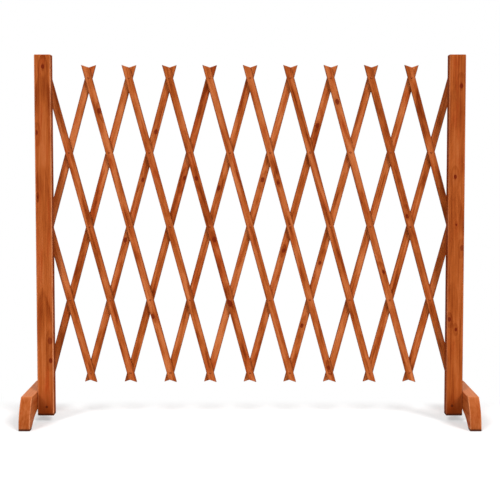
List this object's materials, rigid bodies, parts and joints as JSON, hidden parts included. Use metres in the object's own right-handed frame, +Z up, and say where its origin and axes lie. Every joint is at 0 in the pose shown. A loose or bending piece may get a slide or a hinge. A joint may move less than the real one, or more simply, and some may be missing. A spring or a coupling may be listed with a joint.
{
  "type": "expandable fence",
  "caption": "Free-standing folding trellis fence: two layers of riveted wooden slats that scissor between two posts on arched feet.",
  "frame": {"origin": "on the ground, half way between the posts, in the plane between the two layers of slats and half way along the feet", "axes": "+X along the fence to the right as seen from the front, +Y from the front to the back, +Z up; the posts stand on the front, -Y side of the lattice"},
  "size_m": [1.2256, 0.2876, 1],
  "materials": {
    "post_wood": "orange-brown stained fir with small knots",
    "foot_wood": "orange-brown stained fir, paler on its upper faces",
    "slat_wood": "orange-brown stained fir, sawn thin",
    "fastener_steel": "dull steel, browned by stain"
  },
  "bodies": {
    "left_post": {"post_left": "post_wood", "foot_left": "foot_wood", "foot_screw_upper_left": "fastener_steel", "foot_screw_lower_left": "fastener_steel", "middle_pin_left": "fastener_steel", "middle_washer_left": "fastener_steel"},
    "right_post": {"post_right": "post_wood", "foot_right": "foot_wood", "foot_screw_upper_right": "fastener_steel", "foot_screw_lower_right": "fastener_steel", "middle_pin_right": "fastener_steel", "middle_washer_right": "fastener_steel"},
    "front_slat_01": {"front_slat_01": "slat_wood"},
    "front_slat_02": {"front_slat_02": "slat_wood", "top_slide_pin_left": "fastener_steel", "top_slide_washer_left": "fastener_steel"},
    "front_slat_03": {"front_slat_03": "slat_wood"},
    "front_slat_04": {"front_slat_04": "slat_wood"},
    "front_slat_05": {"front_slat_05": "slat_wood"},
    "front_slat_06": {"front_slat_06": "slat_wood"},
    "front_slat_07": {"front_slat_07": "slat_wood"},
    "front_slat_08": {"front_slat_08": "slat_wood"},
    "front_slat_09": {"front_slat_09": "slat_wood"},
    "front_slat_10": {"front_slat_10": "slat_wood", "bottom_slide_pin_right": "fastener_steel", "bottom_slide_washer_right": "fastener_steel"},
    "front_slat_11": {"front_slat_11": "slat_wood"},
    "back_slat_01": {"back_slat_01": "slat_wood"},
    "back_slat_02": {"back_slat_02": "slat_wood", "bottom_slide_pin_left": "fastener_steel", "bottom_slide_spacer_left": "fastener_steel"},
    "back_slat_03": {"back_slat_03": "slat_wood"},
    "back_slat_04": {"back_slat_04": "slat_wood"},
    "back_slat_05": {"back_slat_05": "slat_wood"},
    "back_slat_06": {"back_slat_06": "slat_wood"},
    "back_slat_07": {"back_slat_07": "slat_wood"},
    "back_slat_08": {"back_slat_08": "slat_wood"},
    "back_slat_09": {"back_slat_09": "slat_wood"},
    "back_slat_10": {"back_slat_10": "slat_wood", "top_slide_pin_right": "fastener_steel", "top_slide_spacer_right": "fastener_steel"},
    "back_slat_11": {"back_slat_11": "slat_wood"}
  },
  "joints": [
    {"name": "front_slat_01_pivot", "type": "hinge", "parent": "left_post", "child": "front_slat_01", "pos_m": [-0.55, 0, 0.5345], "axis": [0, -1, 0], "range_deg": [-12.31, 8.32]},
    {"name": "back_slat_01_pivot", "type": "hinge", "parent": "left_post", "child": "back_slat_01", "pos_m": [-0.55, 0, 0.5345], "axis": [0, -1, 0], "range_deg": [-8.32, 12.31]},
    {"name": "back_slat_03_pivot", "type": "hinge", "parent": "front_slat_01", "child": "back_slat_03", "pos_m": [-0.44, 0, 0.12916], "axis": [0, -1, 0], "range_deg": [-16.64, 24.62]},
    {"name": "back_slat_02_pivot", "type": "hinge", "parent": "front_slat_01", "child": "back_slat_02", "pos_m": [-0.495, 0, 0.33183], "axis": [0, -1, 0], "range_deg": [-16.64, 24.62]},
    {"name": "front_slat_05_pivot", "type": "hinge", "parent": "back_slat_03", "child": "front_slat_05", "pos_m": [-0.22, 0, 0.93984], "axis": [0, -1, 0], "range_deg": [-24.62, 16.64]},
    {"name": "front_slat_02_pivot", "type": "hinge", "parent": "back_slat_03", "child": "front_slat_02", "pos_m": [-0.385, 0, 0.33183], "axis": [0, -1, 0], "range_deg": [-24.62, 16.64]},
    {"name": "front_slat_03_pivot", "type": "hinge", "parent": "back_slat_03", "child": "front_slat_03", "pos_m": [-0.33, 0, 0.5345], "axis": [0, -1, 0], "range_deg": [-24.62, 16.64]},
    {"name": "front_slat_04_pivot", "type": "hinge", "parent": "back_slat_03", "child": "front_slat_04", "pos_m": [-0.275, 0, 0.73717], "axis": [0, -1, 0], "range_deg": [-24.62, 16.64]},
    {"name": "back_slat_07_pivot", "type": "hinge", "parent": "front_slat_05", "child": "back_slat_07", "pos_m": [0, 0, 0.12916], "axis": [0, -1, 0], "range_deg": [-16.64, 24.62]},
    {"name": "back_slat_04_pivot", "type": "hinge", "parent": "front_slat_05", "child": "back_slat_04", "pos_m": [-0.165, 0, 0.73717], "axis": [0, -1, 0], "range_deg": [-16.64, 24.62]},
    {"name": "back_slat_05_pivot", "type": "hinge", "parent": "front_slat_05", "child": "back_slat_05", "pos_m": [-0.11, 0, 0.5345], "axis": [0, -1, 0], "range_deg": [-16.64, 24.62]},
    {"name": "back_slat_06_pivot", "type": "hinge", "parent": "front_slat_05", "child": "back_slat_06", "pos_m": [-0.055, 0, 0.33183], "axis": [0, -1, 0], "range_deg": [-16.64, 24.62]},
    {"name": "front_slat_09_pivot", "type": "hinge", "parent": "back_slat_07", "child": "front_slat_09", "pos_m": [0.22, 0, 0.93984], "axis": [0, -1, 0], "range_deg": [-24.62, 16.64]},
    {"name": "front_slat_06_pivot", "type": "hinge", "parent": "back_slat_07", "child": "front_slat_06", "pos_m": [0.055, 0, 0.33183], "axis": [0, -1, 0], "range_deg": [-24.62, 16.64]},
    {"name": "front_slat_07_pivot", "type": "hinge", "parent": "back_slat_07", "child": "front_slat_07", "pos_m": [0.11, 0, 0.5345], "axis": [0, -1, 0], "range_deg": [-24.62, 16.64]},
    {"name": "front_slat_08_pivot", "type": "hinge", "parent": "back_slat_07", "child": "front_slat_08", "pos_m": [0.165, 0, 0.73717], "axis": [0, -1, 0], "range_deg": [-24.62, 16.64]},
    {"name": "back_slat_11_pivot", "type": "hinge", "parent": "front_slat_09", "child": "back_slat_11", "pos_m": [0.44, 0, 0.12916], "axis": [0, -1, 0], "range_deg": [-16.64, 24.62]},
    {"name": "back_slat_08_pivot", "type": "hinge", "parent": "front_slat_09", "child": "back_slat_08", "pos_m": [0.275, 0, 0.73717], "axis": [0, -1, 0], "range_deg": [-16.64, 24.62]},
    {"name": "back_slat_09_pivot", "type": "hinge", "parent": "front_slat_09", "child": "back_slat_09", "pos_m": [0.33, 0, 0.5345], "axis": [0, -1, 0], "range_deg": [-16.64, 24.62]},
    {"name": "back_slat_10_pivot", "type": "hinge", "parent": "front_slat_09", "child": "back_slat_10", "pos_m": [0.385, 0, 0.33183], "axis": [0, -1, 0], "range_deg": [-16.64, 24.62]},
    {"name": "front_slat_10_pivot", "type": "hinge", "parent": "back_slat_11", "child": "front_slat_10", "pos_m": [0.495, 0, 0.33183], "axis": [0, -1, 0], "range_deg": [-24.62, 16.64]},
    {"name": "front_slat_11_pivot", "type": "hinge", "parent": "back_slat_11", "child": "front_slat_11", "pos_m": [0.55, 0, 0.5345], "axis": [0, -1, 0], "range_deg": [-24.62, 16.64]},
    {"name": "right_post_pivot", "type": "hinge", "parent": "back_slat_11", "child": "right_post", "pos_m": [0.55, 0, 0.5345], "axis": [0, -1, 0], "range_deg": [-12.31, 8.32]}
  ],
  "couplings": [
    {"joint": "back_slat_01_pivot", "follows": "front_slat_01_pivot", "ratio": -1},
    {"joint": "back_slat_03_pivot", "follows": "front_slat_01_pivot", "ratio": -2},
    {"joint": "back_slat_02_pivot", "follows": "front_slat_01_pivot", "ratio": -2},
    {"joint": "front_slat_05_pivot", "follows": "front_slat_01_pivot", "ratio": 2},
    {"joint": "front_slat_02_pivot", "follows": "front_slat_01_pivot", "ratio": 2},
    {"joint": "front_slat_03_pivot", "follows": "front_slat_01_pivot", "ratio": 2},
    {"joint": "front_slat_04_pivot", "follows": "front_slat_01_pivot", "ratio": 2},
    {"joint": "back_slat_07_pivot", "follows": "front_slat_01_pivot", "ratio": -2},
    {"joint": "back_slat_04_pivot", "follows": "front_slat_01_pivot", "ratio": -2},
    {"joint": "back_slat_05_pivot", "follows": "front_slat_01_pivot", "ratio": -2},
    {"joint": "back_slat_06_pivot", "follows": "front_slat_01_pivot", "ratio": -2},
    {"joint": "front_slat_09_pivot", "follows": "front_slat_01_pivot", "ratio": 2},
    {"joint": "front_slat_06_pivot", "follows": "front_slat_01_pivot", "ratio": 2},
    {"joint": "front_slat_07_pivot", "follows": "front_slat_01_pivot", "ratio": 2},
    {"joint": "front_slat_08_pivot", "follows": "front_slat_01_pivot", "ratio": 2},
    {"joint": "back_slat_11_pivot", "follows": "front_slat_01_pivot", "ratio": -2},
    {"joint": "back_slat_08_pivot", "follows": "front_slat_01_pivot", "ratio": -2},
    {"joint": "back_slat_09_pivot", "follows": "front_slat_01_pivot", "ratio": -2},
    {"joint": "back_slat_10_pivot", "follows": "front_slat_01_pivot", "ratio": -2},
    {"joint": "front_slat_10_pivot", "follows": "front_slat_01_pivot", "ratio": 2},
    {"joint": "front_slat_11_pivot", "follows": "front_slat_01_pivot", "ratio": 2},
    {"joint": "right_post_pivot", "follows": "front_slat_01_pivot", "ratio": 1}
  ]
}
